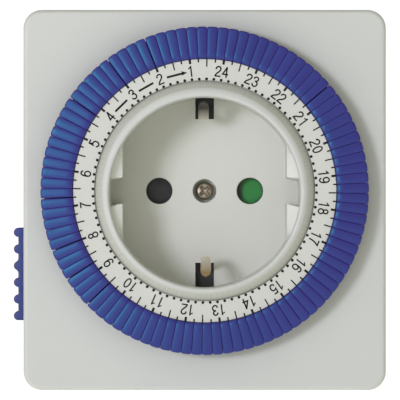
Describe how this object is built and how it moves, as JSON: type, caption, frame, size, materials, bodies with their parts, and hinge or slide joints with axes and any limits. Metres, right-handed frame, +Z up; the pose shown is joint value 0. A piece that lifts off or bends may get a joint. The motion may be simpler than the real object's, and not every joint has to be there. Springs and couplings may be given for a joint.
{
  "type": "plug-in mechanical timer",
  "caption": "Plug-in mechanical 24-hour timer with a ring of push-down switching segments around an earthed socket, and an earthed two-pin plug behind.",
  "frame": {"origin": "on the dial's axis, at the plug's face that meets the wall socket", "axes": "+X to the right seen from the front, +Y into the wall along the plug pins, +Z up"},
  "size_m": [0.0773, 0.081, 0.0788],
  "materials": {
    "housing_plastic": "warm light grey, fine satin mould texture",
    "socket_plastic": "light grey, smooth satin gloss",
    "dial_plastic": "near-white satin with black printed marks",
    "carrier_plastic": "dark satin",
    "segment_blue": "violet-blue satin gloss",
    "slider_blue": "violet-blue satin gloss",
    "shutter_green": "green satin",
    "gear_plastic": "natural white",
    "black_plastic": "black satin",
    "screw_steel": "zinc-plated steel",
    "spring_steel": "drawn wire",
    "nickel_plate": "nickel-plated sprung brass",
    "pin_metal": "bright nickel-plated brass",
    "brass": "stamped brass",
    "motor_steel": "drawn steel",
    "magnet": "plastic-bonded magnet, dark",
    "copper_wire": "enamelled copper winding"
  },
  "bodies": {
    "case": {"front_housing": "housing_plastic", "rear_housing": "housing_plastic", "plug_body": "housing_plastic", "socket_cup": "socket_plastic", "mechanism_plate": "gear_plastic", "switch_base": "black_plastic", "housing_screws": "screw_steel", "centre_screw": "screw_steel", "lever_pin": "screw_steel", "leaf_pin": "screw_steel", "gear_axle": "screw_steel", "lever_spring": "spring_steel", "shutter_spring": "spring_steel", "front_earth_clip": "nickel_plate", "rear_earth_strap": "nickel_plate", "earth_link": "nickel_plate", "live_pin": "pin_metal", "neutral_pin": "pin_metal", "neutral_contact": "brass", "live_contact": "brass", "live_feed": "brass", "motor_can": "motor_steel", "motor_plate": "motor_steel", "motor_coil": "copper_wire"},
    "dial": {"dial_disc": "dial_plastic", "segment_carrier": "carrier_plastic"},
    "gear": {"compound_gear": "gear_plastic"},
    "rotor": {"motor_rotor": "magnet"},
    "lever": {"switch_lever": "black_plastic"},
    "leaf": {"moving_leaf": "brass"},
    "shutter": {"shutter": "shutter_green"},
    "slider": {"override_slider": "slider_blue"},
    "hour_01": {"hour_01": "segment_blue"},
    "hour_02": {"hour_02": "segment_blue"},
    "hour_03": {"hour_03": "segment_blue"},
    "hour_04": {"hour_04": "segment_blue"},
    "hour_05": {"hour_05": "segment_blue"},
    "hour_06": {"hour_06": "segment_blue"},
    "hour_07": {"hour_07": "segment_blue"},
    "hour_08": {"hour_08": "segment_blue"},
    "hour_09": {"hour_09": "segment_blue"},
    "hour_10": {"hour_10": "segment_blue"},
    "hour_11": {"hour_11": "segment_blue"},
    "hour_12": {"hour_12": "segment_blue"},
    "hour_13": {"hour_13": "segment_blue"},
    "hour_14": {"hour_14": "segment_blue"},
    "hour_15": {"hour_15": "segment_blue"},
    "hour_16": {"hour_16": "segment_blue"},
    "hour_17": {"hour_17": "segment_blue"},
    "hour_18": {"hour_18": "segment_blue"},
    "hour_19": {"hour_19": "segment_blue"},
    "hour_20": {"hour_20": "segment_blue"},
    "hour_21": {"hour_21": "segment_blue"},
    "hour_22": {"hour_22": "segment_blue"},
    "hour_23": {"hour_23": "segment_blue"},
    "hour_24": {"hour_24": "segment_blue"}
  },
  "joints": [
    {"name": "dial_spin", "type": "hinge", "parent": "case", "child": "dial", "pos_m": [0, -0.055, 0], "axis": [0, 1, 0], "continuous": true},
    {"name": "gear_spin", "type": "hinge", "parent": "case", "child": "gear", "pos_m": [0.02386, -0.047, -0.02386], "axis": [0, 1, 0], "continuous": true},
    {"name": "motor_spin", "type": "hinge", "parent": "case", "child": "rotor", "pos_m": [0.00996, -0.04, -0.02759], "axis": [0, 1, 0], "continuous": true},
    {"name": "lever_swing", "type": "hinge", "parent": "case", "child": "lever", "pos_m": [-0.0325, -0.0443, -0.022], "axis": [1, 0, 0], "range_deg": [-4, 0], "stiffness_Nm_per_rad": 0.02, "deforming": ["lever_spring"]},
    {"name": "leaf_flex", "type": "hinge", "parent": "case", "child": "leaf", "pos_m": [-0.029, -0.037, 0.024], "axis": [1, 0, 0], "range_deg": [0, 8.3]},
    {"name": "shutter_turn", "type": "hinge", "parent": "case", "child": "shutter", "pos_m": [0, -0.041, 0], "axis": [0, 1, 0], "range_deg": [0, 45], "stiffness_Nm_per_rad": 0.002},
    {"name": "override_slide", "type": "slide", "parent": "case", "child": "slider", "axis": [0, 0, 1], "range_m": [0, 0.005]},
    {"name": "hour_01_press", "type": "slide", "parent": "dial", "child": "hour_01", "axis": [0, 1, 0], "range_m": [0, 0.002]},
    {"name": "hour_02_press", "type": "slide", "parent": "dial", "child": "hour_02", "axis": [0, 1, 0], "range_m": [0, 0.002]},
    {"name": "hour_03_press", "type": "slide", "parent": "dial", "child": "hour_03", "axis": [0, 1, 0], "range_m": [0, 0.002]},
    {"name": "hour_04_press", "type": "slide", "parent": "dial", "child": "hour_04", "axis": [0, 1, 0], "range_m": [0, 0.002]},
    {"name": "hour_05_press", "type": "slide", "parent": "dial", "child": "hour_05", "axis": [0, 1, 0], "range_m": [0, 0.002]},
    {"name": "hour_06_press", "type": "slide", "parent": "dial", "child": "hour_06", "axis": [0, 1, 0], "range_m": [0, 0.002]},
    {"name": "hour_07_press", "type": "slide", "parent": "dial", "child": "hour_07", "axis": [0, 1, 0], "range_m": [0, 0.002]},
    {"name": "hour_08_press", "type": "slide", "parent": "dial", "child": "hour_08", "axis": [0, 1, 0], "range_m": [0, 0.002]},
    {"name": "hour_09_press", "type": "slide", "parent": "dial", "child": "hour_09", "axis": [0, 1, 0], "range_m": [0, 0.002]},
    {"name": "hour_10_press", "type": "slide", "parent": "dial", "child": "hour_10", "axis": [0, 1, 0], "range_m": [0, 0.002]},
    {"name": "hour_11_press", "type": "slide", "parent": "dial", "child": "hour_11", "axis": [0, 1, 0], "range_m": [0, 0.002]},
    {"name": "hour_12_press", "type": "slide", "parent": "dial", "child": "hour_12", "axis": [0, 1, 0], "range_m": [0, 0.002]},
    {"name": "hour_13_press", "type": "slide", "parent": "dial", "child": "hour_13", "axis": [0, 1, 0], "range_m": [0, 0.002]},
    {"name": "hour_14_press", "type": "slide", "parent": "dial", "child": "hour_14", "axis": [0, 1, 0], "range_m": [0, 0.002]},
    {"name": "hour_15_press", "type": "slide", "parent": "dial", "child": "hour_15", "axis": [0, 1, 0], "range_m": [0, 0.002]},
    {"name": "hour_16_press", "type": "slide", "parent": "dial", "child": "hour_16", "axis": [0, 1, 0], "range_m": [0, 0.002]},
    {"name": "hour_17_press", "type": "slide", "parent": "dial", "child": "hour_17", "axis": [0, 1, 0], "range_m": [0, 0.002]},
    {"name": "hour_18_press", "type": "slide", "parent": "dial", "child": "hour_18", "axis": [0, 1, 0], "range_m": [0, 0.002]},
    {"name": "hour_19_press", "type": "slide", "parent": "dial", "child": "hour_19", "axis": [0, 1, 0], "range_m": [0, 0.002]},
    {"name": "hour_20_press", "type": "slide", "parent": "dial", "child": "hour_20", "axis": [0, 1, 0], "range_m": [0, 0.002]},
    {"name": "hour_21_press", "type": "slide", "parent": "dial", "child": "hour_21", "axis": [0, 1, 0], "range_m": [0, 0.002]},
    {"name": "hour_22_press", "type": "slide", "parent": "dial", "child": "hour_22", "axis": [0, 1, 0], "range_m": [0, 0.002]},
    {"name": "hour_23_press", "type": "slide", "parent": "dial", "child": "hour_23", "axis": [0, 1, 0], "range_m": [0, 0.002]},
    {"name": "hour_24_press", "type": "slide", "parent": "dial", "child": "hour_24", "axis": [0, 1, 0], "range_m": [0, 0.002]}
  ],
  "couplings": [
    {"joint": "gear_spin", "follows": "dial_spin", "ratio": -8},
    {"joint": "motor_spin", "follows": "dial_spin", "ratio": 24},
    {"joint": "leaf_flex", "follows": "lever_swing", "ratio": -2.0667}
  ]
}
